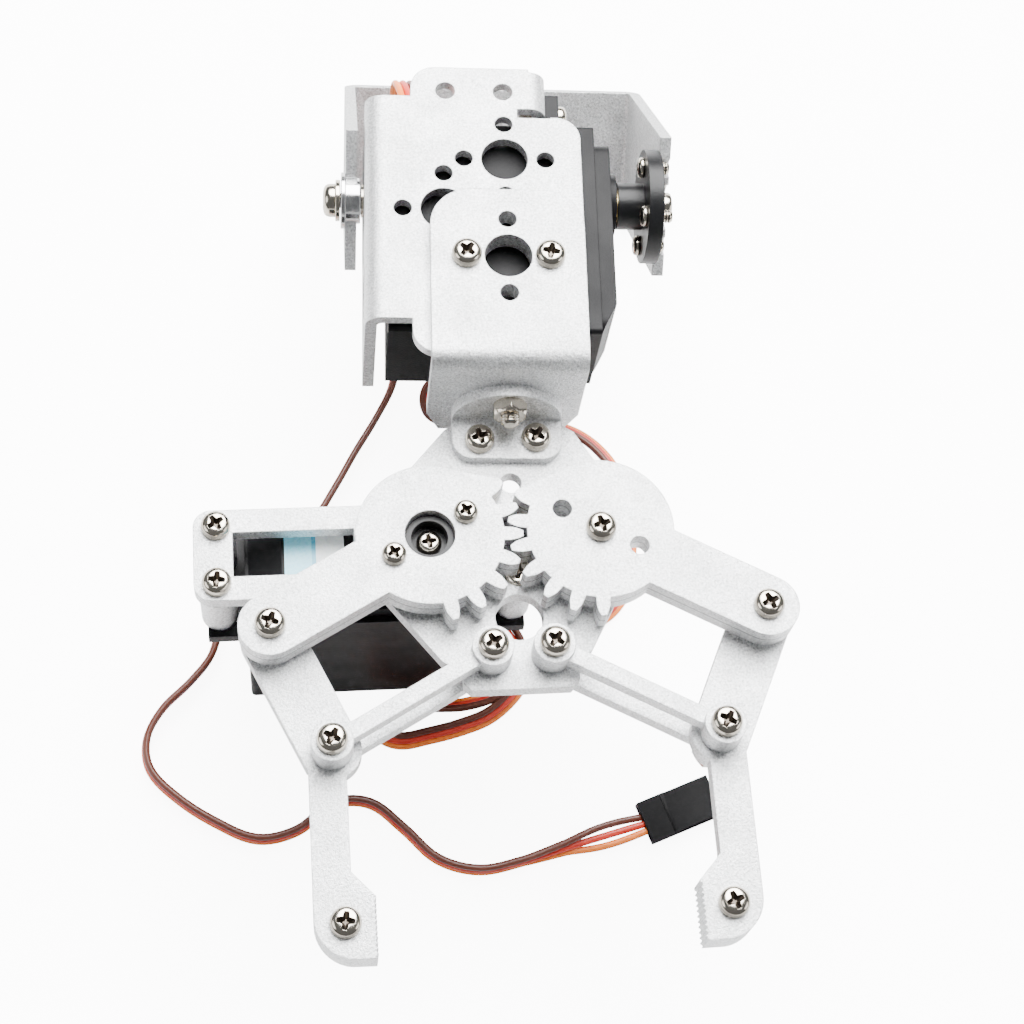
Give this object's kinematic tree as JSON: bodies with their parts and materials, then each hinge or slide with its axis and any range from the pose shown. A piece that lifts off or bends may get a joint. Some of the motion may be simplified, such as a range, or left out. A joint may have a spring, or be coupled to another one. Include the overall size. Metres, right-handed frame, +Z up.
{
  "type": "desktop robot arm",
  "caption": "Small aluminium robot arm: a servo tilts an L-bracket forearm on a U bracket, and a second servo drives a geared parallel gripper with serrated jaws.",
  "frame": {"origin": "centre of the object's footprint on the table, at the table's surface, not counting the servo leads and their plugs", "axes": "+Z up, -Y towards the claws, +X to the right seen from the shoulder; the shoulder axis lies along X"},
  "size_m": [0.1097, 0.1702, 0.0616],
  "materials": {
    "aluminium": "sand blasted",
    "servo_case": "fine texture",
    "black_plastic": "satin",
    "relief_rubber": "matte",
    "lead": "satin",
    "label": "printed",
    "nickel": "nickel plated",
    "motor_steel": "drawn",
    "gear_brass": "machined",
    "board": "solder mask",
    "sensor": "moulded"
  },
  "bodies": {
    "base": {"u_bracket": "aluminium", "shoulder_horn": "black_plastic", "shoulder_horn_screws": "nickel", "shoulder_center_screw": "nickel", "shoulder_shaft": "gear_brass", "pivot_bearing": "nickel"},
    "left_gear": {"left_gear_arm": "aluminium", "grip_horn": "black_plastic", "grip_horn_screws": "nickel", "grip_shaft": "gear_brass"},
    "right_gear": {"right_gear_arm": "aluminium"},
    "left_finger": {"left_finger": "aluminium", "left_finger_screws": "nickel"},
    "right_finger": {"right_finger": "aluminium", "right_finger_screws": "nickel"},
    "left_links": {"left_link_upper": "aluminium", "left_link_lower": "aluminium"},
    "right_links": {"right_link_upper": "aluminium", "right_link_lower": "aluminium"},
    "arm": {"multi_bracket": "aluminium", "pivot_screw": "nickel", "pivot_washer": "nickel", "pivot_spacer": "nickel", "pivot_nut": "nickel", "shoulder_case_bottom": "servo_case", "shoulder_case_middle": "servo_case", "shoulder_case_top": "servo_case", "l_bracket": "aluminium", "l_bracket_screws": "nickel", "l_bracket_nuts": "nickel", "ear_screws": "nickel", "ear_nuts": "nickel", "wrist_bracket": "aluminium", "wrist_bolt": "nickel", "wrist_nut": "nickel", "wrist_bracket_screws": "nickel", "claw_plate": "aluminium", "plate_nuts": "nickel", "claw_standoffs": "aluminium", "claw_mount_screws": "nickel", "claw_ear_screws": "nickel", "grip_case_bottom": "servo_case", "grip_case_middle": "servo_case", "grip_case_top": "servo_case", "grip_label": "label", "right_gear_pin": "nickel", "link_base_pins": "nickel", "servo_motors": "motor_steel", "servo_gears": "gear_brass", "servo_boards": "board", "servo_potentiometers": "sensor", "servo_case_screws": "nickel", "shoulder_strain_relief": "relief_rubber", "shoulder_cord": "lead", "shoulder_plug": "black_plastic", "grip_strain_relief": "relief_rubber", "grip_cord": "lead", "grip_plug": "black_plastic"}
  },
  "joints": [
    {"name": "arm_tilt", "type": "hinge", "parent": "base", "child": "arm", "pos_m": [0.00372, 0.04741, 0.04269], "axis": [1, 0, 0], "range_deg": [-150, 20]},
    {"name": "grip", "type": "hinge", "parent": "arm", "child": "left_gear", "pos_m": [-0.01077, -0.01662, 0.0448], "axis": [0, 0.0953, 0.9955], "range_deg": [-2, 57]},
    {"name": "right_gear_turn", "type": "hinge", "parent": "arm", "child": "right_gear", "pos_m": [0.01741, -0.01535, 0.04468], "axis": [0, 0.0953, 0.9955], "range_deg": [-57, 2]},
    {"name": "left_link_turn", "type": "hinge", "parent": "arm", "child": "left_links", "pos_m": [-0.00079, -0.0356, 0.04661], "axis": [0, 0.0953, 0.9955], "range_deg": [-2, 57]},
    {"name": "right_link_turn", "type": "hinge", "parent": "arm", "child": "right_links", "pos_m": [0.0092, -0.03515, 0.04657], "axis": [0, 0.0953, 0.9955], "range_deg": [-57, 2]},
    {"name": "left_knuckle", "type": "hinge", "parent": "left_gear", "child": "left_finger", "pos_m": [-0.03649, -0.03237, 0.04631], "axis": [0, 0.0953, 0.9955], "range_deg": [-57, 2]},
    {"name": "right_knuckle", "type": "hinge", "parent": "right_gear", "child": "right_finger", "pos_m": [0.04446, -0.02871, 0.04596], "axis": [0, 0.0953, 0.9955], "range_deg": [-2, 57]}
  ],
  "couplings": [
    {"joint": "right_gear_turn", "follows": "grip", "ratio": -1},
    {"joint": "left_link_turn", "follows": "grip", "ratio": 1},
    {"joint": "right_link_turn", "follows": "grip", "ratio": -1},
    {"joint": "left_knuckle", "follows": "grip", "ratio": -1},
    {"joint": "right_knuckle", "follows": "grip", "ratio": 1}
  ]
}
